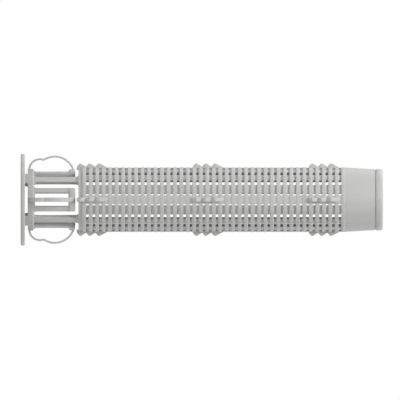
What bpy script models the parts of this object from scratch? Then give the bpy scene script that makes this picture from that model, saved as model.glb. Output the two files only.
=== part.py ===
"""Injection mesh sleeve, moulded in one piece, for a 16 mm hole in hollow brick.

The sleeve stands on its flange, mouth down. Z runs along its axis, from the flange's outer
face at z = 0 to the closed tip. Each of the four sides (front, back, left and right) has one
springy tongue with a bowed wing in the collar, and one row of barbs along the net.
"""

import math

import bmesh
import bpy
from mathutils import Matrix, Vector

MM = 0.001
MERGE_DISTANCE = 0.001 * MM
SIDES = 4  # tongues, wings and rows of barbs around the sleeve
SEGMENTS = 32  # around the flange and the collar

# Whole sleeve
LENGTH = 85.0 * MM
BODY_RADIUS = 7.6 * MM
BODY_WALL = 1.1 * MM
JOINT_DEPTH = 0.4 * MM  # how far pieces of the moulding run into each other

# Flange that stops the sleeve at the mouth of the hole
FLANGE_OVERHANG = 3.15 * MM  # past the body
FLANGE_THICKNESS = 1.0 * MM
FLANGE_CHAMFER = 0.2 * MM

# Collar between the flange and the net
COLLAR_LENGTH = 13.45 * MM
COLLAR_STEP = 0.75 * MM  # below the body's surface
COLLAR_WALL = 1.1 * MM
MOUTH_BAND_LENGTH = 2.05 * MM
MOUTH_BAND_HEIGHT = 0.4 * MM
END_BAND_LENGTH = 0.9 * MM
END_BAND_STEP = 0.3 * MM  # below the body's surface
BAND_CHAMFER = 0.2 * MM
POST_WIDTH = 1.65 * MM  # of the four posts left between the windows
WINDOW_CORNER = 0.8 * MM
GAP_ROUNDING = 0.48  # radius at the foot of a gap beside a tongue, as a share of its width

# Slots that set the mouth band free of the flange on each side
SLOT_HALF_WIDTH = 3.7 * MM
SLOT_HEIGHT = 0.65 * MM

# Tongues standing in the windows, each a frame with a thicker crossbar at its free end
TONGUE_HALF_WIDTH = 2.8 * MM
TONGUE_END_GAP = 0.75 * MM
TONGUE_BAR = 1.15 * MM
TONGUE_FOOT = 0.3 * MM
TONGUE_CORNER = 0.35 * MM
CROSSBAR_LENGTH = 1.45 * MM
CROSSBAR_HEIGHT = 0.35 * MM
CROSSBAR_INSET = 0.15 * MM

# Bowed wings that press on the wall of the hole. Places are shares of a wing's length
WING_RISE = 3.5 * MM
WING_THICKNESS = 0.45 * MM
WING_WIDTH = 1.0 * MM
WING_KNEE_PLACE, WING_KNEE_DEPTH = 0.02, 2.2 * MM
WING_SHOULDER_PLACE, WING_SHOULDER_DEPTH = 0.15, 0.83 * MM
WING_NOTCH_PLACE, WING_NOTCH_DEPTH = 0.33, 0.78 * MM
WING_CROWN_PLACE = 0.57
WING_SEAT = 0.1 * MM  # above the slot and below the tongue's end
ARM_STEPS = 5
BOW_STEPS = 9

# Net: ribs along the sleeve crossed by rings
NET_COLUMNS = 12
NET_RING = 0.9 * MM
NET_PITCH = 1.95 * MM

# Barbs: saw teeth in groups along each side
BARB_GROUPS = 3
BARB_TEETH = 3
BARB_PITCH = 2.18 * MM
BARB_HEIGHT = 0.9 * MM
BARB_WIDTH = 1.0 * MM
BARB_RISE = 0.65 * MM
BARB_TOP = 0.4 * MM
BARB_VALLEY = 0.15 * MM
BARB_ROOT = 0.6 * MM
BARB_RUNOUT = 1.75 * MM  # past the last tooth, down to the root
BARB_LEAD = 0.4 * MM  # by which the first group starts ahead of the end band
BARB_MARGIN = 2.0 * MM  # from the last group to the end of the net

# Closed tail
TAIL_LENGTH = 8.9 * MM
TAIL_STEP = 0.05 * MM
TAIL_TAPER = 0.4 * MM
TIP_BAND_LENGTH = 1.6 * MM
TIP_BAND_HEIGHT = 0.1 * MM
TIP_CHAMFER = 0.3 * MM

PLASTIC = (0.52, 0.52, 0.505, 1.0)
PLASTIC_ROUGHNESS = 0.5
SHARP_ANGLE = math.radians(35)

# Radii and heights that follow from the sizes above
FLANGE_RADIUS = BODY_RADIUS + FLANGE_OVERHANG
COLLAR_RADIUS = BODY_RADIUS - COLLAR_STEP
COLLAR_BORE = COLLAR_RADIUS - COLLAR_WALL
BAND_TOP = FLANGE_THICKNESS + MOUTH_BAND_LENGTH
NET_START = FLANGE_THICKNESS + COLLAR_LENGTH
NET_END = LENGTH - TAIL_LENGTH
WINDOW_TOP = NET_START - END_BAND_LENGTH
TONGUE_TOP = WINDOW_TOP - TONGUE_END_GAP
CROSSBAR_BOTTOM = TONGUE_TOP - CROSSBAR_LENGTH


def clear_scene():
    for item in list(bpy.data.objects):
        bpy.data.objects.remove(item, do_unlink=True)


def new_collection(name):
    collection = bpy.data.collections.new(name)
    bpy.context.scene.collection.children.link(collection)
    return collection


def add_object(name, mesh, collection):
    item = bpy.data.objects.new(name, mesh)
    collection.objects.link(item)
    if collection.name == "construction":
        item.hide_render = True
        item.display_type = "WIRE"
    return item


def plastic_material():
    material = bpy.data.materials.new("pale_grey_plastic")
    material.use_nodes = True
    shader = material.node_tree.nodes["Principled BSDF"]
    shader.inputs["Base Color"].default_value = PLASTIC
    shader.inputs["Roughness"].default_value = PLASTIC_ROUGHNESS
    shader.inputs["Metallic"].default_value = 0.0
    return material


def evaluated_mesh(item):
    """The object's mesh with its modifiers, and its doubled points merged."""
    bpy.context.view_layer.update()
    graph = bpy.context.evaluated_depsgraph_get()
    mesh = bpy.data.meshes.new_from_object(item.evaluated_get(graph))
    work = bmesh.new()
    work.from_mesh(mesh)
    bmesh.ops.remove_doubles(work, verts=work.verts, dist=MERGE_DISTANCE)
    work.to_mesh(mesh)
    work.free()
    return mesh


def turned(name, profile, segments, closed, collection):
    """A profile of (radius, height) points turned about Z. It runs down its outer side."""
    mesh = bpy.data.meshes.new(name)
    points = [(radius, 0, height) for radius, height in profile]
    edges = [(i, i + 1) for i in range(len(points) - 1)]
    if closed:
        edges.append((len(points) - 1, 0))
    mesh.from_pydata(points, edges, [])
    item = add_object(name, mesh, collection)
    screw = item.modifiers.new("Turn", "SCREW")
    screw.axis = "Z"
    screw.angle = math.tau
    screw.steps = segments
    screw.render_steps = segments
    screw.use_merge_vertices = True
    screw.merge_threshold = MERGE_DISTANCE
    return item


def flat_mesh(name, outline, thickness):
    """A flat outline of (across, height) points, made thick and stood upright in XZ."""
    curve = bpy.data.curves.new(name, "CURVE")
    curve.dimensions = "2D"
    curve.fill_mode = "BOTH"
    curve.extrude = thickness / 2
    spline = curve.splines.new("POLY")
    spline.points.add(len(outline) - 1)
    for point, (x, height) in zip(spline.points, outline):
        point.co = (x, height, 0, 1)
    spline.use_cyclic_u = True
    guide = bpy.data.objects.new(name, curve)
    bpy.context.scene.collection.objects.link(guide)
    mesh = evaluated_mesh(guide)
    bpy.data.objects.remove(guide, do_unlink=True)
    mesh.transform(Matrix(((1, 0, 0, 0), (0, 0, -1, 0), (0, 1, 0, 0), (0, 0, 0, 1))))
    return mesh


def repeated(name, mesh, places, collection):
    """One object that holds a copy of the mesh at each place. The copies don't touch."""
    work = bmesh.new()
    for place in places:
        copy = mesh.copy()
        copy.transform(place)
        work.from_mesh(copy)
        bpy.data.meshes.remove(copy)
    bmesh.ops.recalc_face_normals(work, faces=work.faces)
    joined = bpy.data.meshes.new(name)
    work.to_mesh(joined)
    work.free()
    return add_object(name, joined, collection)


def turns(count):
    """Turns about Z, evenly spaced. Quarter turns are exact, so that opposite sides match."""
    places = []
    for i in range(count):
        cos, sin = (round(f(math.tau * i / count), 9) for f in (math.cos, math.sin))
        places.append(Matrix(((cos, -sin, 0, 0), (sin, cos, 0, 0), (0, 0, 1, 0), (0, 0, 0, 1))))
    return places


def combine(target, other, operation):
    boolean = target.modifiers.new(other.name, "BOOLEAN")
    boolean.object = other
    boolean.operation = operation
    boolean.solver = "EXACT"


def rounded(corners, steps=2):
    """A closed outline through (across, height, radius) corners. Radius 0 leaves one sharp."""
    outline = []
    for i, (x, height, radius) in enumerate(corners):
        if radius == 0:
            outline.append((x, height))
            continue
        here = Vector((x, height))
        back = (Vector(corners[i - 1][:2]) - here).normalized()
        ahead = (Vector(corners[(i + 1) % len(corners)][:2]) - here).normalized()
        half = back.angle(ahead) / 2
        centre = here + (back + ahead).normalized() * radius / math.sin(half)
        first = here + back * radius / math.tan(half) - centre
        last = here + ahead * radius / math.tan(half) - centre
        sweep = first.angle_signed(last)
        for step in range(steps + 1):
            arm = first.copy()
            arm.rotate(Matrix.Rotation(-sweep * step / steps, 2))
            outline.append(tuple(centre + arm))
    return outline


def arc_through(start, middle, end, steps):
    """Points on the circle through three points, from the first to the last."""
    a, b, c = (complex(*point) for point in (start, middle, end))
    w = (c - a) / (b - a)
    centre = (b - a) * (w - abs(w) ** 2) / (2j * w.imag) + a
    sweep = 0.0
    for before, after in ((a, b), (b, c)):
        turn = (after - centre) / (before - centre)
        sweep += math.atan2(turn.imag, turn.real)
    points = []
    for step in range(steps + 1):
        turn = sweep * step / steps
        point = centre + (a - centre) * complex(math.cos(turn), math.sin(turn))
        points.append((point.real, point.imag))
    return points


def strip(centre_line, thickness):
    """The closed outline of a strip of even thickness along a line of points."""
    points = [Vector(point) for point in centre_line]
    sides = []
    for i, point in enumerate(points):
        run = points[min(i + 1, len(points) - 1)] - points[max(i - 1, 0)]
        sides.append(Vector((run.y, -run.x)).normalized() * thickness / 2)
    outer = [tuple(point + side) for point, side in zip(points, sides)]
    inner = [tuple(point - side) for point, side in zip(points, sides)]
    return outer + inner[::-1]


def across(half_width):
    """The half-width of a radial wedge that is this wide at the collar's surface."""
    return COLLAR_RADIUS * math.tan(math.asin(half_width / COLLAR_RADIUS))


def wedges(name, outline, collection):
    """The outline as a wedge on each side of the collar, narrowing towards its axis."""
    mesh = flat_mesh(name, outline, COLLAR_RADIUS)
    mesh.transform(Matrix.Translation((0, -COLLAR_RADIUS, 0)))
    for vertex in mesh.vertices:
        vertex.co.x *= -vertex.co.y / COLLAR_RADIUS
    return repeated(name, mesh, turns(SIDES), collection)


def make_collar(collection):
    """Flange and collar, turned in one, with a band at each end and a window on each side."""
    head = NET_START + JOINT_DEPTH
    mouth_band = COLLAR_RADIUS + MOUTH_BAND_HEIGHT
    end_band = BODY_RADIUS - END_BAND_STEP
    profile = [
        (COLLAR_BORE, head),
        (end_band, head),
        (end_band, WINDOW_TOP + BAND_CHAMFER / 2),
        (COLLAR_RADIUS, WINDOW_TOP - BAND_CHAMFER / 2),
        (COLLAR_RADIUS, BAND_TOP + BAND_CHAMFER / 2),
        (mouth_band, BAND_TOP - BAND_CHAMFER / 2),
        (mouth_band, FLANGE_THICKNESS),
        (FLANGE_RADIUS - FLANGE_CHAMFER, FLANGE_THICKNESS),
        (FLANGE_RADIUS, FLANGE_THICKNESS - FLANGE_CHAMFER),
        (FLANGE_RADIUS, FLANGE_CHAMFER),
        (FLANGE_RADIUS - FLANGE_CHAMFER, 0),
        (COLLAR_BORE + FLANGE_CHAMFER, 0),
        (COLLAR_BORE, FLANGE_CHAMFER),
    ]
    collar = turned("collar", profile, SEGMENTS, True, collection)
    for cutter in make_collar_cutters(collection):
        combine(collar, cutter, "DIFFERENCE")
    return collar


def make_collar_cutters(collection):
    """Wedges for the slots under the mouth band, the windows and the tongues' openings."""
    slot = across(SLOT_HALF_WIDTH)
    slot_top = FLANGE_THICKNESS + SLOT_HEIGHT
    yield wedges("slots", rounded([
        (-slot, FLANGE_THICKNESS, 0),
        (slot, FLANGE_THICKNESS, 0),
        (slot, slot_top, SLOT_HEIGHT / 2),
        (-slot, slot_top, SLOT_HEIGHT / 2),
    ]), collection)
    post = math.asin(POST_WIDTH / 2 / COLLAR_RADIUS)
    window = COLLAR_RADIUS * math.tan(math.pi / SIDES - post)
    tongue = across(TONGUE_HALF_WIDTH)
    end = GAP_ROUNDING * (window - tongue)
    yield wedges("windows", rounded([
        (-window, BAND_TOP, end),
        (-tongue, BAND_TOP, end),
        (-tongue, TONGUE_TOP, TONGUE_CORNER),
        (tongue, TONGUE_TOP, TONGUE_CORNER),
        (tongue, BAND_TOP, end),
        (window, BAND_TOP, end),
        (window, WINDOW_TOP, WINDOW_CORNER),
        (-window, WINDOW_TOP, WINDOW_CORNER),
    ]), collection)
    opening = across(TONGUE_HALF_WIDTH - TONGUE_BAR)
    yield wedges("tongue_openings", rounded([
        (-opening, BAND_TOP + TONGUE_FOOT, TONGUE_CORNER),
        (opening, BAND_TOP + TONGUE_FOOT, TONGUE_CORNER),
        (opening, CROSSBAR_BOTTOM, TONGUE_CORNER),
        (-opening, CROSSBAR_BOTTOM, TONGUE_CORNER),
    ]), collection)


def make_crossbars(collection):
    """The thicker ends of the tongues: what a turned bead has of each tongue's width."""
    root = COLLAR_RADIUS - COLLAR_WALL / 2
    crown = COLLAR_RADIUS + CROSSBAR_HEIGHT
    top = TONGUE_TOP - CROSSBAR_INSET
    bottom = CROSSBAR_BOTTOM + CROSSBAR_INSET
    profile = [(root, top), (crown, top), (crown, bottom), (root, bottom - CROSSBAR_HEIGHT)]
    bead = turned("crossbars", profile, SEGMENTS, True, collection)
    width = across(TONGUE_HALF_WIDTH - CROSSBAR_INSET)
    outline = [(-width, BAND_TOP), (width, BAND_TOP), (width, TONGUE_TOP), (-width, TONGUE_TOP)]
    combine(bead, wedges("crossbar_widths", outline, collection), "INTERSECT")
    return bead


def make_wings(collection):
    """Thin bows from the mouth band to the tongue's end, each with a notch where it flexes."""
    crown = COLLAR_RADIUS + WING_RISE - WING_THICKNESS / 2
    root = COLLAR_RADIUS - COLLAR_WALL / 4
    low = FLANGE_THICKNESS + SLOT_HEIGHT + WING_SEAT + WING_THICKNESS / 2
    high = TONGUE_TOP - WING_SEAT - WING_THICKNESS / 2

    def place(share, depth):
        return crown - depth, low + (high - low) * share

    knee = place(WING_KNEE_PLACE, WING_KNEE_DEPTH)
    shoulder = place(WING_SHOULDER_PLACE, WING_SHOULDER_DEPTH)
    notch = place(WING_NOTCH_PLACE, WING_NOTCH_DEPTH)
    arm = arc_through(knee, shoulder, notch, ARM_STEPS)
    bow = arc_through(notch, place(WING_CROWN_PLACE, 0), (root, high), BOW_STEPS)
    centre_line = [(root, low)] + arm + bow[1:]
    mesh = flat_mesh("wing", strip(centre_line, WING_THICKNESS), WING_WIDTH)
    return repeated("wings", mesh, turns(SIDES), collection)


def make_barbs(collection):
    """Saw teeth, steep towards the flange, in groups along each side."""
    root = BODY_RADIUS - BARB_ROOT
    valley = BODY_RADIUS + BARB_VALLEY
    tip = BODY_RADIUS + BARB_HEIGHT
    length = BARB_TEETH * BARB_PITCH
    outline = [(root, 0)]
    for tooth in range(BARB_TEETH):
        start = tooth * BARB_PITCH
        outline += [(valley, start), (tip, start + BARB_RISE), (tip, start + BARB_RISE + BARB_TOP)]
    outline.append((root, length + BARB_RUNOUT))
    mesh = flat_mesh("barb", outline, BARB_WIDTH)
    first = WINDOW_TOP - BARB_LEAD
    spacing = (NET_END - BARB_MARGIN - length - first) / (BARB_GROUPS - 1)
    places = [
        turn @ Matrix.Translation((0, 0, first + group * spacing))
        for turn in turns(SIDES)
        for group in range(BARB_GROUPS)
    ]
    return repeated("barbs", mesh, places, collection)


def make_net(material, collection):
    """The tube from collar to tip: a turned skin with the net's openings taken out of it.

    One rib of the net runs along the middle of each side, and carries its barbs.
    """
    rows = round((NET_END - NET_START - NET_RING) / NET_PITCH)
    pitch = (NET_END - NET_START - NET_RING) / rows
    tip = BODY_RADIUS - TAIL_STEP - TAIL_TAPER
    band_start = LENGTH - TIP_BAND_LENGTH
    profile = [
        (0, LENGTH),
        (tip - TIP_CHAMFER, LENGTH),
        (tip, LENGTH - TIP_CHAMFER),
        (tip + TIP_BAND_HEIGHT, band_start + TIP_BAND_HEIGHT),
        (tip, band_start),
        (BODY_RADIUS - TAIL_STEP, NET_END + TAIL_STEP),
    ]
    for row in range(rows, -1, -1):
        bottom = NET_START + row * pitch
        profile += [(BODY_RADIUS, bottom + NET_RING), (BODY_RADIUS, bottom)]
    skin = turned("skin", profile, 2 * NET_COLUMNS, False, collection)
    mesh = evaluated_mesh(skin)
    bpy.data.objects.remove(skin, do_unlink=True)
    step = math.tau / NET_COLUMNS
    mesh.transform(Matrix.Rotation(step / 4, 4, "Z"))

    def is_opening(face):
        centre = face.calc_center_median()
        column = (math.atan2(centre.y, centre.x) / step) % 1
        row = ((centre.z - NET_START) / pitch) % 1
        in_net = NET_START < centre.z < NET_END
        return in_net and abs(column - 0.5) < 0.25 and row * pitch > NET_RING

    work = bmesh.new()
    work.from_mesh(mesh)
    openings = [face for face in work.faces if is_opening(face)]
    bmesh.ops.delete(work, geom=openings, context="FACES")
    work.to_mesh(mesh)
    work.free()
    mesh.materials.append(material)
    net = add_object("mesh_sleeve", mesh, collection)
    wall = net.modifiers.new("Wall", "SOLIDIFY")
    wall.thickness = BODY_WALL
    wall.offset = -1
    wall.use_even_offset = True
    return net


def build():
    clear_scene()
    sleeve_collection = new_collection("injection_mesh_sleeve")
    construction = new_collection("construction")
    sleeve = make_net(plastic_material(), sleeve_collection)
    for make in (make_collar, make_crossbars, make_wings, make_barbs):
        combine(sleeve, make(construction), "UNION")
    moulding = evaluated_mesh(sleeve)
    sleeve.modifiers.clear()
    sleeve.data = moulding
    moulding.shade_smooth()
    moulding.set_sharp_from_angle(angle=SHARP_ANGLE)


build()
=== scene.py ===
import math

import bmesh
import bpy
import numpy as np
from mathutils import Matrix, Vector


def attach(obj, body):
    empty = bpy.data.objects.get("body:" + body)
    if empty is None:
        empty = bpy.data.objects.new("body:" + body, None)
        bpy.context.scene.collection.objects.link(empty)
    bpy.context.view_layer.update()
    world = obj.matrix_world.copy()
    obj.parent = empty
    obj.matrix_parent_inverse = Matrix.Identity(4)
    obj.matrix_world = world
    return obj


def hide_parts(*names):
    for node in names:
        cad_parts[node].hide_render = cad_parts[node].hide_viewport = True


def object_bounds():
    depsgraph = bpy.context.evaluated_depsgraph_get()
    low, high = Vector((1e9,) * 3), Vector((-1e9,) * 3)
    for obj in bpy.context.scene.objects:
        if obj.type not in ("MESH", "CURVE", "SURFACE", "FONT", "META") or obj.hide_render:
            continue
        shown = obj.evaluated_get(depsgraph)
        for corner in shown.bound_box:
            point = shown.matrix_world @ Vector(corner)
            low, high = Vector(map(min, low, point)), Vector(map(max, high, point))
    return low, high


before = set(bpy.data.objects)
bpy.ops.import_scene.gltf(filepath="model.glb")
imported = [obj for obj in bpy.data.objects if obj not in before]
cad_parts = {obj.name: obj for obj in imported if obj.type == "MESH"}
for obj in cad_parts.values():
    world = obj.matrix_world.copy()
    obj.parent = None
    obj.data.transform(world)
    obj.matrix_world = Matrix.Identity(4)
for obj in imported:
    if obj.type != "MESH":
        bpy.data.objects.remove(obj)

# Looks of the injection mesh sleeve: one grey plastic moulding, standing on its flange.
# The sleeve's axis is Z, and angles are measured round it from the side facing the camera.
# Each piece is made of closed surfaces worked out with numpy. The pieces overlap a little where
# the moulding runs on from one form into the next.

MM = 0.001
SIDES = 4  # tongues, wings, posts and rails around the sleeve
HALF_SIDE = math.pi / SIDES
OVERLAP = 0.3 * MM  # how far pieces run into each other
SKIN_GAP = 0.03 * MM  # keeps two pieces' surfaces from lying in one place
SOFT_EDGE = 0.12 * MM
SHARP = 0.01 * MM  # the radius of a corner that is left sharp
MOST_OF_LINE = 0.45  # the share of a short line that the furthest station's distance takes
TUBE_END = 0.8  # the size of a tube's last section, as a share of its own
CREASE = math.radians(42)
MERGE_DISTANCE = 0.0005 * MM

cad_low, cad_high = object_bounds()

# Whole sleeve
LENGTH = cad_high.z
FLANGE_RADIUS = cad_high.x
BODY_RADIUS = 7.6 * MM
BODY_BORE = 6.5 * MM
NET_START = 14.45 * MM
NET_END = LENGTH - 8.9 * MM

# Flange and collar
FLANGE_THICKNESS = 1.0 * MM
FLANGE_EDGE = 0.3 * MM
COLLAR_RADIUS = 6.85 * MM
COLLAR_BORE = 5.75 * MM
MOUTH_BAND_RADIUS = 7.25 * MM
MOUTH_BAND_TOP = 3.05 * MM
MOUTH_BAND_CHAMFER = 0.22 * MM
END_BAND_RADIUS = 7.3 * MM
WINDOW_TOP = 13.55 * MM
WINDOW_CORNER = 0.8 * MM
POST_WIDTH = 1.65 * MM
GAP_ROUNDING = 0.48  # radius at the foot of a gap beside a tongue, as a share of its width
SLOT_HALF_WIDTH = 3.7 * MM
SLOT_HEIGHT = 0.65 * MM

# Tongues with their crossbars
TONGUE_HALF_WIDTH = 2.8 * MM
TONGUE_OPENING_HALF_WIDTH = 1.65 * MM
TONGUE_TOP = 12.8 * MM
TONGUE_CORNER = 0.35 * MM
TONGUE_FOOT = 0.3 * MM
TONGUE_FLARE = 0.6 * MM
CROSSBAR_BOTTOM = 11.35 * MM
CROSSBAR_INSET = 0.15 * MM
CROSSBAR_HEIGHT = 0.35 * MM

# Wings. Places are shares of a wing's length, and depths are below its crown
WING_WIDTH = 1.0 * MM
WING_THICKNESS = 0.45 * MM
WING_LOW = 1.975 * MM
WING_HIGH = 12.475 * MM
WING_CROWN = COLLAR_RADIUS + 3.275 * MM
WING_CROWN_PLACE = 0.57
WING_KNEE_PLACE, WING_KNEE_DEPTH = 0.02, 2.2 * MM
WING_SHOULDER_PLACE, WING_SHOULDER_DEPTH = 0.15, 0.83 * MM
WING_NOTCH_PLACE, WING_NOTCH_DEPTH = 0.33, 0.78 * MM

# Net: rings crossed by ribs. On each side one rib is a raised rail, which carries the barbs.
# From the rail's middle to the post's line, half a side away, there is a narrow and a wide
# opening, each given by the angles of its two edges
NET_ROWS = 40
RING_WIDTH = 0.9 * MM
RIB_RECESS = 0.32 * MM
RAIL_RECESS = 0.08 * MM
NARROW_OPENING = math.radians(8), math.radians(11.8)
WIDE_OPENING = math.radians(28.8), math.radians(38.6)

# Barbs
BARB_WIDTH = 1.0 * MM
BARB_ROOT = 0.6 * MM
BARB_VALLEY = 0.15 * MM
BARB_HEIGHT = 0.9 * MM
BARB_PITCH = 2.18 * MM
BARB_TEETH = 3
BARB_RISE = 0.65 * MM
BARB_TOP = 0.4 * MM
BARB_RUNOUT = 1.75 * MM
BARB_FIRST = 13.15 * MM
BARB_SPACING = 27.205 * MM
BARB_GROUPS = 3

# Tail, with the mark of the mould's gate in the middle of its tip
TAIL_START_RADIUS = 7.55 * MM
TAIL_END_RADIUS = 7.15 * MM
TAIL_WALL = 1.1 * MM
TIP_BAND_START = LENGTH - 1.6 * MM
TIP_BAND_HEIGHT = 0.1 * MM
TIP_GROOVE = 0.16 * MM
TIP_CHAMFER = 0.3 * MM
GATE_RADIUS = 1.6 * MM
GATE_DEPTH = 0.25 * MM
GATE_NUB = 0.5 * MM

# How finely surfaces are drawn. Counts are an outline's steps across, along and round a corner
CORNER_STEPS = 3
TURN_SEGMENTS = 144
RING_SEGMENTS = 96
CHAMFER_STATIONS = 9
MOUTH_BAND_COUNTS = 24, 10, 6
WINDOW_COUNTS = 24, 20, 8
TONGUE_COUNTS = 10, 60, 6
RIB_COUNTS = 6, 1, 3
CROSSBAR_SECTIONS = 17
WING_FOOT_POINTS, WING_ARM_STEPS, WING_BOW_STEPS = 5, 20, 40

# Plastic: its greys, then the sizes of its noises per metre with how fine they are, how far
# streaks are drawn out along the sleeve, and how the noises share in tone, roughness and grain
DARK_GREY = (0.46, 0.458, 0.452, 1.0)
LIGHT_GREY = (0.58, 0.578, 0.57, 1.0)
STREAKS, STREAK_DETAIL, STREAK_SQUEEZE = 420.0, 4.0, 0.12
CLOUDS, CLOUD_DETAIL, CLOUD_SHARE = 110.0, 3.0, 0.4
GRAIN, GRAIN_DETAIL, GRAIN_DEPTH, GRAIN_STRENGTH = 6500.0, 2.0, 0.02 * MM, 0.25
STREAK_DEPTH = 0.5  # as a share of the grain's
ROUGHNESS, CLOUD_ROUGHNESS, GRAIN_ROUGHNESS = 0.4, 0.14, 0.1
REFRACTION, SPECULAR = 1.5, 0.3

# The photograph's frame is 400 pixels wide, and the sleeve spans the pixels named here
FRAME_PIXELS = 400
LEFT_PIXEL, RIGHT_PIXEL, AXIS_PIXEL = 20.7, 383.0, 199.7
PIXEL = LENGTH / (RIGHT_PIXEL - LEFT_PIXEL)
VIEW_WIDTH = FRAME_PIXELS * PIXEL
VIEW_MIDDLE = (FRAME_PIXELS / 2 - LEFT_PIXEL) * PIXEL
AXIS_ABOVE_MIDDLE = (FRAME_PIXELS / 2 - AXIS_PIXEL) * PIXEL
CAMERA_DISTANCE = 0.4

# Light: place, size and power of each lamp, and the world's strength. The camera alone sees
# the floor glow, which grows to white between two distances from the sleeve
FRONT_LAMP = (-0.1, -0.26, 0.42), 0.18, 1.7
LEFT_LAMP = (-0.38, 0.24, 0.3), 0.4, 1.15
RIGHT_LAMP = (0.38, 0.24, 0.3), 0.4, 1.15
WORLD_LIGHT = 0.2
WHITE_STRENGTH = 1.0
BLACK, WHITE = (0.0, 0.0, 0.0, 1.0), (1.0, 1.0, 1.0, 1.0)
FLOOR_COLOUR, FLOOR_ROUGHNESS = (0.82, 0.82, 0.82, 1.0), 0.9
FLOOR_HALF = 0.6
GLOW_GROWS = 0.06, 0.4


class Socket:
    """A value in a material. Arithmetic on it adds the nodes that work it out."""

    def __init__(self, tree, link=None):
        self.tree = tree
        self.link = link

    def node(self, kind, settings=None, output=0, **inputs):
        """Adds a node of a type, with its settings, then values or links for its sockets. A
        socket goes by its name, or by its number after an underscore."""
        made = self.tree.nodes.new(kind)
        for name, value in (settings or {}).items():
            setattr(made, name, value)
        for name, value in inputs.items():
            socket = made.inputs[int(name[1:])] if name[1:].isdigit() else made.inputs[name]
            if isinstance(value, Socket):
                self.tree.links.new(value.link, socket)
            else:
                socket.default_value = value
        return Socket(self.tree, made.outputs[output])

    def math(self, operation, first, second):
        """Adds a Math node that works on two values."""
        return self.node("ShaderNodeMath", {"operation": operation}, _0=first, _1=second)

    def __add__(self, other):
        return self.math("ADD", self, other)

    def __mul__(self, other):
        return self.math("MULTIPLY", self, other)

    __radd__ = __add__
    __rmul__ = __mul__

    def mixed(self, low, high):
        """The low colour where this is 0 and the high colour where it is 1."""
        return self.node(
            "ShaderNodeMix", {"data_type": "RGBA"}, output=2, _0=self, _6=low, _7=high
        )


def soft_step(share):
    """0 below 0, 1 above 1 and an S-shaped rise between: 3 s squared less 2 s cubed."""
    share = np.clip(share, 0, 1)
    return share * share * (3 - 2 * share)


def around_axis(angle, radius, height):
    """Points at an angle from the near side, a distance from the axis and a height."""
    angle, radius, height = np.broadcast_arrays(angle, radius, height)
    return np.stack([radius * np.sin(angle), -radius * np.cos(angle), height], axis=-1)


def on_each_side(points):
    """Copies of grids, turned about the axis by one side after another."""
    turn = np.arange(SIDES) * 2 * HALF_SIDE
    cos, sin, none = np.cos(turn), np.sin(turn), np.zeros(SIDES)
    rows = [[cos, -sin, none], [sin, cos, none], [none, none, none + 1]]
    return np.einsum("abk,...b->k...a", np.array(rows), points)


def softened(corners, radius):
    """A closed outline whose corners are drawn as curves: each is the parabola that leaves
    one side a radius before the corner and joins the next side a radius after it."""
    corners = np.asarray(corners, dtype=float)
    to_last = np.roll(corners, 1, axis=0) - corners
    to_next = np.roll(corners, -1, axis=0) - corners
    first = corners + radius * to_last / np.linalg.norm(to_last, axis=1, keepdims=True)
    last = corners + radius * to_next / np.linalg.norm(to_next, axis=1, keepdims=True)
    s = np.linspace(0, 1, CORNER_STEPS + 1)[None, :, None]
    curve = (1 - s) ** 2 * first[:, None] + 2 * s * (1 - s) * corners[:, None]
    return (curve + s**2 * last[:, None]).reshape(-1, 2)


def soft_box(left, right, low, high, radius):
    """A box's softened outline."""
    return softened([(left, high), (right, high), (right, low), (left, low)], radius)


def box_outline(left, right, low, high, low_radius, high_radius, counts):
    """A box's outline: quarter circles at its corners and even steps along its sides, from
    the upper right corner on. Outlines with the same counts match point by point."""
    across, along, arc = counts

    def corner(x, z, radius, start):
        angle = start + np.linspace(0, math.pi / 2, arc + 1)
        return np.stack([x + radius * np.cos(angle), z + radius * np.sin(angle)], axis=-1)

    corners = [
        corner(right - high_radius, high - high_radius, high_radius, 0),
        corner(left + high_radius, high - high_radius, high_radius, math.pi / 2),
        corner(left + low_radius, low + low_radius, low_radius, math.pi),
        corner(right - low_radius, low + low_radius, low_radius, 1.5 * math.pi),
    ]
    outline = []
    for i, points in enumerate(corners):
        steps = across if i % 2 == 0 else along
        following = corners[(i + 1) % len(corners)][0]
        outline += [points, np.linspace(points[-1], following, steps + 1)[1:-1]]
    return np.concatenate(outline)


def wall_between(border, opening, stations):
    """A wall round an opening. Each point of the opening's outline is joined to the border's
    by a line. A station is a share of that line, a distance to add and a radius, which may be
    worked out from the place. The distances shrink where the line is too short for them.
    Outlines are wrapped round the collar, whose radius turns their width into an angle."""
    gap = border - opening
    length = np.linalg.norm(gap, axis=1, keepdims=True)
    reach = max(abs(distance) for share, distance, radius in stations)
    along = gap / np.maximum(length, reach / MOST_OF_LINE)
    columns = []
    for share, distance, radius in stations:
        place = opening + gap * share + along * distance
        depth = radius(place) if callable(radius) else radius
        columns.append(around_axis(place[:, 0] / COLLAR_RADIUS, depth, place[:, 1]))
    return np.stack(columns, axis=1)


def shifted(radius, amount):
    """A radius, or a radius that depends on the place, moved in or out by an amount."""
    if callable(radius):
        return lambda place: radius(place) + amount
    return radius + amount


def rounded_edge(share, sign, radius, into):
    """Stations round an edge of a wall: one on the flat that keeps its shading even, and a
    quarter circle of SOFT_EDGE that ends on the cut. Sign is the way from the cut into the
    wall, and into is the way to its middle."""
    return [(share, sign * 2 * SOFT_EDGE, radius)] + [
        (
            share,
            sign * SOFT_EDGE * (1 - math.sin(turn)),
            shifted(radius, into * SOFT_EDGE * (1 - math.cos(turn))),
        )
        for turn in np.linspace(0, math.pi / 2, CORNER_STEPS + 1)
    ]


def opening_edge(outside, bore):
    """Stations along an opening's edge, from the outside to the bore, both corners rounded."""
    return rounded_edge(0, 1, outside, -1) + rounded_edge(0, 1, bore, 1)[::-1]


def profile_at(angles, profile):
    """A profile of (radius, height) points set up at each of the angles."""
    profile = np.array(profile)
    return around_axis(angles[:, None], profile[:, 0], profile[:, 1])


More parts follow.
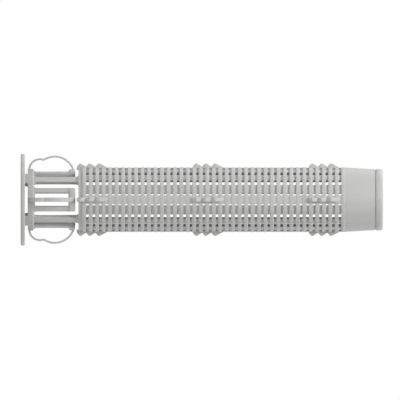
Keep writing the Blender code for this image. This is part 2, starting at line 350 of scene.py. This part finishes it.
def turned(profile, segments=TURN_SEGMENTS):
    """A profile carried round the axis in even steps."""
    return profile_at(np.linspace(0, math.tau, segments, endpoint=False), profile)


def closed_tube(sections, draw_in=TUBE_END):
    """Sections along a path, closed at each end by a smaller copy and the section's centre."""
    ends = []
    for section in (sections[0], sections[-1]):
        centre = np.broadcast_to(section.mean(axis=0), section.shape)
        ends.append([centre, centre + (section - centre) * draw_in])
    return np.concatenate([ends[0], sections[1:-1], ends[1][::-1]])


def grid_faces(rows, columns, wrap_rows, wrap_columns):
    """The corners of a grid's quads. A wrapped side joins its last line to its first."""
    i, j = np.meshgrid(
        np.arange(rows if wrap_rows else rows - 1),
        np.arange(columns if wrap_columns else columns - 1),
        indexing="ij",
    )
    i2, j2 = (i + 1) % rows, (j + 1) % columns
    corners = [i * columns + j, i2 * columns + j, i2 * columns + j2, i * columns + j2]
    return np.stack(corners, axis=-1).reshape(-1, 4)


def make_piece(name, grids, material):
    """One piece from (points, wrap_rows, wrap_columns) grids. Shared edges are merged."""
    points, faces, used = [], [], 0
    for grid, wrap_rows, wrap_columns in grids:
        rows, columns = grid.shape[-3:-1]
        quads = grid_faces(rows, columns, wrap_rows, wrap_columns)
        shells = grid.reshape(-1, rows * columns, 3)
        starts = used + np.arange(len(shells)) * rows * columns
        faces.append((quads[None] + starts[:, None, None]).reshape(-1, 4))
        points.append(shells.reshape(-1, 3))
        used += len(points[-1])
    mesh = bpy.data.meshes.new(name)
    mesh.from_pydata(np.concatenate(points).tolist(), [], np.concatenate(faces).tolist())
    work = bmesh.new()
    work.from_mesh(mesh)
    bmesh.ops.remove_doubles(work, verts=work.verts, dist=MERGE_DISTANCE)
    bmesh.ops.recalc_face_normals(work, faces=work.faces)
    work.to_mesh(mesh)
    work.free()
    mesh.shade_smooth()
    mesh.set_sharp_from_angle(angle=CREASE)
    mesh.materials.append(material)
    piece = bpy.data.objects.new(name, mesh)
    bpy.context.scene.collection.objects.link(piece)
    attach(piece, "root")
    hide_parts("mesh_sleeve")


def make_collar_wall(name, border, opening, stations, ends, steps, material):
    """A wall round the collar with an opening on each side, and a flat ring at each end, from
    one (radius, height) point to another. Steps are the border's across a side. Their number
    is even, so that the rings' points meet the border's."""
    wall = on_each_side(wall_between(border, opening, stations))
    rings = [(turned(end, SIDES * steps), True, False) for end in ends]
    make_piece(name, [(wall, True, False), *rings], material)


def arc_of(half_width):
    """How far a half width, seen straight on, reaches along the collar's surface: the radius
    times the arc sine of the half width's share of it."""
    return COLLAR_RADIUS * math.asin(half_width / COLLAR_RADIUS)


def make_flange(plastic):
    """A disc with a soft rim round the mouth: a box section turned round the axis."""
    section = soft_box(COLLAR_BORE, FLANGE_RADIUS, 0, FLANGE_THICKNESS, FLANGE_EDGE)
    make_piece("flange", [(turned(section), True, True)], plastic)


def make_mouth_band(plastic):
    """The band on its four feet: a wall with a slot open to the flange on each side. Its upper
    edge falls away along an S-shaped chamfer."""

    def surface(place):
        rise = (place[:, 1] - MOUTH_BAND_TOP) / MOUTH_BAND_CHAMFER + 1
        return MOUTH_BAND_RADIUS - MOUTH_BAND_CHAMFER * soft_step(rise)

    sector = COLLAR_RADIUS * HALF_SIDE
    slot_end = arc_of(SLOT_HALF_WIDTH)
    low = FLANGE_THICKNESS - OVERLAP
    bore = COLLAR_BORE - SKIN_GAP
    border = box_outline(-sector, sector, low, MOUTH_BAND_TOP, 0, 0, MOUTH_BAND_COUNTS)
    slot = box_outline(
        -slot_end, slot_end, low + OVERLAP / 2, FLANGE_THICKNESS + SLOT_HEIGHT,
        SHARP, SLOT_HEIGHT / 2, MOUTH_BAND_COUNTS,
    )
    chamfer = np.linspace(0, 2 * MOUTH_BAND_CHAMFER, CHAMFER_STATIONS)
    stations = [(1, -distance, surface) for distance in chamfer]
    stations += opening_edge(surface, bore) + [(1, 0, bore)]
    top_radius = MOUTH_BAND_RADIUS - MOUTH_BAND_CHAMFER
    ends = (
        [(MOUTH_BAND_RADIUS, low), (bore, low)],
        [(top_radius, MOUTH_BAND_TOP), (bore, MOUTH_BAND_TOP)],
    )
    make_collar_wall("mouth_band", border, slot, stations, ends, MOUTH_BAND_COUNTS[0], plastic)


def make_collar_posts(plastic):
    """The posts between the windows: a wall with a window on each side, whose round corners
    flare the posts at both ends."""
    sector = COLLAR_RADIUS * HALF_SIDE
    window = sector - arc_of(POST_WIDTH / 2)
    low, high = MOUTH_BAND_TOP - 2 * OVERLAP, NET_START + OVERLAP - SKIN_GAP
    foot_rounding = GAP_ROUNDING * (window - arc_of(TONGUE_HALF_WIDTH))
    border = box_outline(-sector, sector, low, high, 0, 0, WINDOW_COUNTS)
    opening = box_outline(
        -window, window, MOUTH_BAND_TOP - SKIN_GAP, WINDOW_TOP + SKIN_GAP,
        foot_rounding, WINDOW_CORNER, WINDOW_COUNTS,
    )
    edge = opening_edge(COLLAR_RADIUS, COLLAR_BORE)
    stations = [(1, 0, COLLAR_RADIUS), *edge, (1, 0, COLLAR_BORE)]
    ends = [[(COLLAR_RADIUS, z), (COLLAR_BORE, z)] for z in (low, high)]
    make_collar_wall("collar_posts", border, opening, stations, ends, WINDOW_COUNTS[0], plastic)


def make_end_band(plastic):
    """The band where the collar widens into the net: a box section turned round the axis."""
    section = soft_box(
        COLLAR_BORE + OVERLAP, END_BAND_RADIUS, WINDOW_TOP, NET_START + OVERLAP, SOFT_EDGE
    )
    make_piece("end_band", [(turned(section), True, True)], plastic)


def make_tongues(plastic):
    """A frame in each window, open in the middle, that widens into the mouth band at its foot
    along a quarter circle on each side."""
    half_width, opening = arc_of(TONGUE_HALF_WIDTH), arc_of(TONGUE_OPENING_HALF_WIDTH)
    outside = box_outline(
        -half_width, half_width, MOUTH_BAND_TOP - 2 * OVERLAP, TONGUE_TOP,
        SHARP, TONGUE_CORNER, TONGUE_COUNTS,
    )
    rise = np.clip((outside[:, 1] - MOUTH_BAND_TOP) / TONGUE_FLARE, 0, 1)
    flare = TONGUE_FLARE * (1 - np.sqrt(1 - (1 - rise) ** 2))
    outside[:, 0] += np.sign(outside[:, 0]) * flare
    inside = box_outline(
        -opening, opening, MOUTH_BAND_TOP + TONGUE_FOOT, CROSSBAR_BOTTOM,
        TONGUE_CORNER, TONGUE_CORNER, TONGUE_COUNTS,
    )
    bore = COLLAR_BORE + SKIN_GAP
    stations = rounded_edge(1, -1, COLLAR_RADIUS, -1)[::-1]
    stations += opening_edge(COLLAR_RADIUS, bore)
    stations += rounded_edge(1, -1, bore, 1)
    frames = on_each_side(wall_between(outside, inside, stations))
    make_piece("tongues", [(frames, True, True)], plastic)


def make_crossbars(plastic):
    """The thicker end of each tongue: a section carried along an arc round the collar."""
    low, high = CROSSBAR_BOTTOM + CROSSBAR_INSET, TONGUE_TOP - CROSSBAR_INSET
    inner, outer = COLLAR_RADIUS - OVERLAP, COLLAR_RADIUS + CROSSBAR_HEIGHT
    section = softened([
        (inner, high),
        (outer, high),
        (outer, low),
        (inner, low - CROSSBAR_HEIGHT),
    ], SOFT_EDGE)
    reach = arc_of(TONGUE_HALF_WIDTH - CROSSBAR_INSET) / COLLAR_RADIUS
    bar = profile_at(np.linspace(-reach, reach, CROSSBAR_SECTIONS), section)
    make_piece("crossbars", [(on_each_side(closed_tube(bar)), False, True)], plastic)


def arc_through(start, middle, end, steps):
    """Points on the circle through three points, from the first to the last, evenly spaced."""
    a, b, c = (complex(*point) for point in (start, middle, end))
    w = (c - a) / (b - a)
    centre = (b - a) * (w - abs(w) ** 2) / (2j * w.imag) + a
    sweep = np.angle((b - centre) / (a - centre)) + np.angle((c - centre) / (b - centre))
    points = centre + (a - centre) * np.exp(1j * np.linspace(0, sweep, steps + 1))
    return np.stack([points.real, points.imag], axis=-1)


def make_wings(plastic):
    """Thin bows: a rounded strip carried up a short foot and along two arcs, which meet in a
    shallow notch where the wing flexes."""

    def place(share, depth):
        return WING_CROWN - depth, WING_LOW + (WING_HIGH - WING_LOW) * share

    root = COLLAR_RADIUS - OVERLAP
    knee = place(WING_KNEE_PLACE, WING_KNEE_DEPTH)
    shoulder = place(WING_SHOULDER_PLACE, WING_SHOULDER_DEPTH)
    notch = place(WING_NOTCH_PLACE, WING_NOTCH_DEPTH)
    crown = place(WING_CROWN_PLACE, 0)
    foot = np.linspace((root, WING_LOW), knee, WING_FOOT_POINTS)
    arm = arc_through(knee, shoulder, notch, WING_ARM_STEPS)
    bow = arc_through(notch, crown, (root, WING_HIGH), WING_BOW_STEPS)
    path = np.concatenate([foot, arm[1:], bow[1:]])
    run = np.gradient(path, axis=0)
    run /= np.linalg.norm(run, axis=1, keepdims=True)
    side = np.stack([run[:, 1], -run[:, 0]], axis=-1)
    half_width, half_thickness = WING_WIDTH / 2, WING_THICKNESS / 2
    section = soft_box(-half_width, half_width, -half_thickness, half_thickness, SOFT_EDGE)
    across, out = section[:, 0], section[:, 1]
    spine = path[:, None] + side[:, None] * out[None, :, None]
    across = np.broadcast_to(across, spine.shape[:2])
    strip = np.stack([across, -spine[..., 0], spine[..., 1]], axis=-1)
    make_piece("wings", [(on_each_side(closed_tube(strip)), False, True)], plastic)


def make_net(plastic):
    """Rings crossed by ribs. A ring is a rounded section turned round the axis, and a rib is
    a rounded section carried along the sleeve, bent to the wall's curve. The rib in the middle
    of each side is a rail, nearly flush with the rings, and the other ribs lie lower."""
    pitch = (NET_END - NET_START - RING_WIDTH) / NET_ROWS
    heights = NET_START + np.arange(NET_ROWS + 1) * pitch
    ring = turned(soft_box(BODY_BORE, BODY_RADIUS, 0, RING_WIDTH, SOFT_EDGE), RING_SEGMENTS)
    grids = [(ring + heights[:, None, None, None] * [0, 0, 1], True, True)]

    rail_edge, rib_start = NARROW_OPENING
    rib_end, post_start = WIDE_OPENING
    rail, rib = BODY_RADIUS - RAIL_RECESS, BODY_RADIUS - RIB_RECESS
    ribs = (
        (-rail_edge, rail_edge, rail),
        (rib_start, rib_end, rib),
        (-rib_end, -rib_start, rib),
        (post_start, 2 * HALF_SIDE - post_start, rib),
    )
    first, last = NET_START + SOFT_EDGE, NET_END - SOFT_EDGE
    along = np.array([first, first + SOFT_EDGE, last - SOFT_EDGE, last])
    for left, right, radius in ribs:
        outline = box_outline(
            left * BODY_RADIUS, right * BODY_RADIUS, BODY_BORE - SKIN_GAP, radius,
            SOFT_EDGE, SOFT_EDGE, RIB_COUNTS,
        )
        bar = around_axis(outline[:, 0] / BODY_RADIUS, outline[:, 1], along[:, None])
        grids.append((on_each_side(closed_tube(bar)), False, True))
    make_piece("net", grids, plastic)


def make_barbs(plastic):
    """Saw teeth: a section across the barb, carried along the sleeve, whose top edge follows
    the outline of the teeth, steep towards the flange. The last tooth runs out towards the
    root and stops short of it, inside the wall."""
    root, valley, tip = -BARB_ROOT, BARB_VALLEY, BARB_HEIGHT
    end = (root, BARB_TEETH * BARB_PITCH + BARB_RUNOUT)
    corners = [(root, 0)]
    for tooth in range(BARB_TEETH):
        start = tooth * BARB_PITCH
        peak = start + BARB_RISE
        corners += [(valley, start), (tip, peak), (tip, peak + BARB_TOP)]
    corners.append(end)
    at_root = CORNER_STEPS + 1
    top = softened(corners, SOFT_EDGE)[at_root:-at_root]
    last = top[-1]
    runout = 1 - 2 * SOFT_EDGE / (last[0] - root)
    top = np.concatenate([top, [last + (np.array(end) - last) * runout]])
    half = BARB_WIDTH / 2
    mid_edge = SOFT_EDGE * (1 - math.sqrt(0.5))  # half way round the quarter circle of an edge
    across = np.array([
        -half, half, half, half - mid_edge, half - SOFT_EDGE,
        SOFT_EDGE - half, mid_edge - half, -half,
    ])
    drop = np.array([0, 0, SOFT_EDGE, mid_edge, 0, 0, mid_edge, SOFT_EDGE])
    is_root = np.arange(len(across)) < 2
    height = np.where(is_root[None], root, np.maximum(top[:, :1] - drop[None], root))
    across = np.broadcast_to(across, height.shape)
    along = np.broadcast_to(top[:, 1:], height.shape)
    barb = closed_tube(np.stack([across, -BODY_RADIUS - height, along], axis=-1), draw_in=1)
    starts = BARB_FIRST + np.arange(BARB_GROUPS) * BARB_SPACING
    barbs = barb[None] + starts[:, None, None, None] * [0, 0, 1]
    make_piece("barbs", [(on_each_side(barbs), False, True)], plastic)


def make_tail(plastic):
    """The closed tail: a tapered cup with a groove before the band at its tip. Its profile is
    turned round the axis, from the middle of the tip down the outside and up the inside."""
    inner_end = LENGTH - TAIL_WALL
    band = TAIL_END_RADIUS + TIP_BAND_HEIGHT
    groove = TIP_BAND_START - 2 * TIP_GROOVE
    groove_floor = TAIL_END_RADIUS - TIP_GROOVE
    outside = [
        (GATE_RADIUS, LENGTH),
        (TAIL_END_RADIUS - TIP_CHAMFER - SOFT_EDGE, LENGTH),
        (TAIL_END_RADIUS - TIP_CHAMFER, LENGTH - SKIN_GAP),
        (TAIL_END_RADIUS - SKIN_GAP, LENGTH - TIP_CHAMFER),
        (TAIL_END_RADIUS, LENGTH - TIP_CHAMFER - SOFT_EDGE),
        (band, TIP_BAND_START + SOFT_EDGE),
        (band - SOFT_EDGE / 2, TIP_BAND_START),
        (groove_floor, TIP_BAND_START - TIP_GROOVE / 2),
        (groove_floor, groove + TIP_GROOVE / 2),
        (TAIL_END_RADIUS, groove),
        (TAIL_START_RADIUS, NET_END),
        (TAIL_START_RADIUS, NET_END - OVERLAP),
    ]
    inside = [
        (BODY_BORE + SKIN_GAP, NET_END - OVERLAP),
        (BODY_BORE - SKIN_GAP, NET_END),
        (TAIL_END_RADIUS - TAIL_WALL, inner_end),
        (0, inner_end),
    ]
    floor, nub = LENGTH - GATE_DEPTH, LENGTH - GATE_DEPTH / 2
    gate = [
        (0, nub),
        (GATE_NUB, nub),
        (GATE_NUB + SOFT_EDGE, floor),
        (GATE_RADIUS - SOFT_EDGE, floor),
    ]
    make_piece("tail", [(turned(gate + outside + inside), True, False)], plastic)


def satin_plastic():
    """Natural polyolefin as moulded: a light grey with faint flow streaks along the sleeve, a
    fine sparked grain and a satin surface that is a little uneven."""
    material = bpy.data.materials.new("satin_grey_plastic")
    material.use_nodes = True
    tree = material.node_tree
    shader = tree.nodes["Principled BSDF"]
    shader.inputs["IOR"].default_value = REFRACTION
    shader.inputs["Specular IOR Level"].default_value = SPECULAR
    start = Socket(tree)
    place = start.node("ShaderNodeTexCoord", output="Object")
    drawn_out = start.node("ShaderNodeMapping", Vector=place, Scale=(1.0, 1.0, STREAK_SQUEEZE))
    noise = "ShaderNodeTexNoise"
    streaks = start.node(noise, Vector=drawn_out, Scale=STREAKS, Detail=STREAK_DETAIL)
    cloud = start.node(noise, Vector=place, Scale=CLOUDS, Detail=CLOUD_DETAIL)
    grain = start.node(noise, Vector=place, Scale=GRAIN, Detail=GRAIN_DETAIL)
    tone = streaks * (1 - CLOUD_SHARE) + cloud * CLOUD_SHARE
    colour = tone.mixed(DARK_GREY, LIGHT_GREY)
    roughness = ROUGHNESS + cloud * CLOUD_ROUGHNESS + grain * GRAIN_ROUGHNESS
    relief = grain + streaks * STREAK_DEPTH
    bump = start.node(
        "ShaderNodeBump", Strength=GRAIN_STRENGTH, Distance=GRAIN_DEPTH, Height=relief
    )
    for name, value in (("Base Color", colour), ("Roughness", roughness), ("Normal", bump)):
        tree.links.new(value.link, shader.inputs[name])
    return material


def make_floor():
    """A pale floor that takes the sleeve's shadow and fades into the white background."""
    material = bpy.data.materials.new("studio_floor")
    material.use_nodes = True
    tree = material.node_tree
    shader = tree.nodes["Principled BSDF"]
    shader.inputs["Base Color"].default_value = FLOOR_COLOUR
    shader.inputs["Roughness"].default_value = FLOOR_ROUGHNESS
    shader.inputs["Emission Strength"].default_value = WHITE_STRENGTH
    start = Socket(tree)
    seen = start.node("ShaderNodeLightPath", output="Is Camera Ray")
    place = start.node("ShaderNodeTexCoord", output="Object")
    away = start.node("ShaderNodeVectorMath", {"operation": "LENGTH"}, output="Value", _0=place)
    near, far = GLOW_GROWS
    fade = start.node(
        "ShaderNodeMapRange", {"interpolation_type": "SMOOTHSTEP"}, _0=away, _1=near, _2=far
    )
    glow = (seen * fade).mixed(BLACK, WHITE)
    tree.links.new(glow.link, shader.inputs["Emission Color"])
    mesh = bpy.data.meshes.new("floor")
    half = FLOOR_HALF
    corners = [(-half, -half, 0), (half, -half, 0), (half, half, 0), (-half, half, 0)]
    mesh.from_pydata(corners, [], [(0, 1, 2, 3)])
    mesh.materials.append(material)
    floor = bpy.data.objects.new("floor", mesh)
    bpy.context.scene.collection.objects.link(floor)


def make_world():
    """Even light from all round, which the camera, gloss and glass see as plain white."""
    world = bpy.data.worlds.new("studio")
    bpy.context.scene.world = world
    world.use_nodes = True
    tree = world.node_tree
    start = Socket(tree)
    camera = start.node("ShaderNodeLightPath", output="Is Camera Ray")
    glossy = Socket(tree, camera.link.node.outputs["Is Glossy Ray"])
    through = Socket(tree, camera.link.node.outputs["Is Transmission Ray"])
    seen = start.math("MINIMUM", camera + glossy + through, 1.0)
    strength = seen * (WHITE_STRENGTH - WORLD_LIGHT) + WORLD_LIGHT
    back = tree.nodes["Background"]
    back.inputs["Color"].default_value = WHITE
    tree.links.new(strength.link, back.inputs["Strength"])


def make_lamp(name, place, size, power):
    """A soft square lamp that faces the middle of the sleeve."""
    light = bpy.data.lights.new(name, "AREA")
    light.size = size
    light.energy = power
    lamp = bpy.data.objects.new(name, light)
    bpy.context.scene.collection.objects.link(lamp)
    back = np.array(place) - [0, 0, LENGTH / 2]
    back /= np.linalg.norm(back)
    right = np.cross([0, 0, 1], back)
    right /= np.linalg.norm(right)
    axes = np.stack([right, np.cross(back, right), back, np.array(place)], axis=1)
    lamp.matrix_world = Matrix([*axes.tolist(), [0, 0, 0, 1]])


def make_camera():
    """Looks straight at the sleeve's side, turned so that the flange is at the left."""
    camera = bpy.data.cameras.new("camera")
    camera.type = "ORTHO"
    camera.ortho_scale = VIEW_WIDTH
    item = bpy.data.objects.new("camera", camera)
    bpy.context.scene.collection.objects.link(item)
    item.matrix_world = Matrix((
        (0, -1, 0, AXIS_ABOVE_MIDDLE),
        (0, 0, -1, -CAMERA_DISTANCE),
        (1, 0, 0, VIEW_MIDDLE),
        (0, 0, 0, 1),
    ))
    bpy.context.scene.camera = item


bpy.context.scene.view_settings.view_transform = "Standard"
sleeve_plastic = satin_plastic()
for make in (
    make_flange, make_mouth_band, make_collar_posts, make_end_band, make_tongues,
    make_crossbars, make_wings, make_net, make_barbs, make_tail,
):
    make(sleeve_plastic)
make_floor()
make_world()
make_lamp("front_softbox", *FRONT_LAMP)
make_lamp("left_softbox", *LEFT_LAMP)
make_lamp("right_softbox", *RIGHT_LAMP)
make_camera()
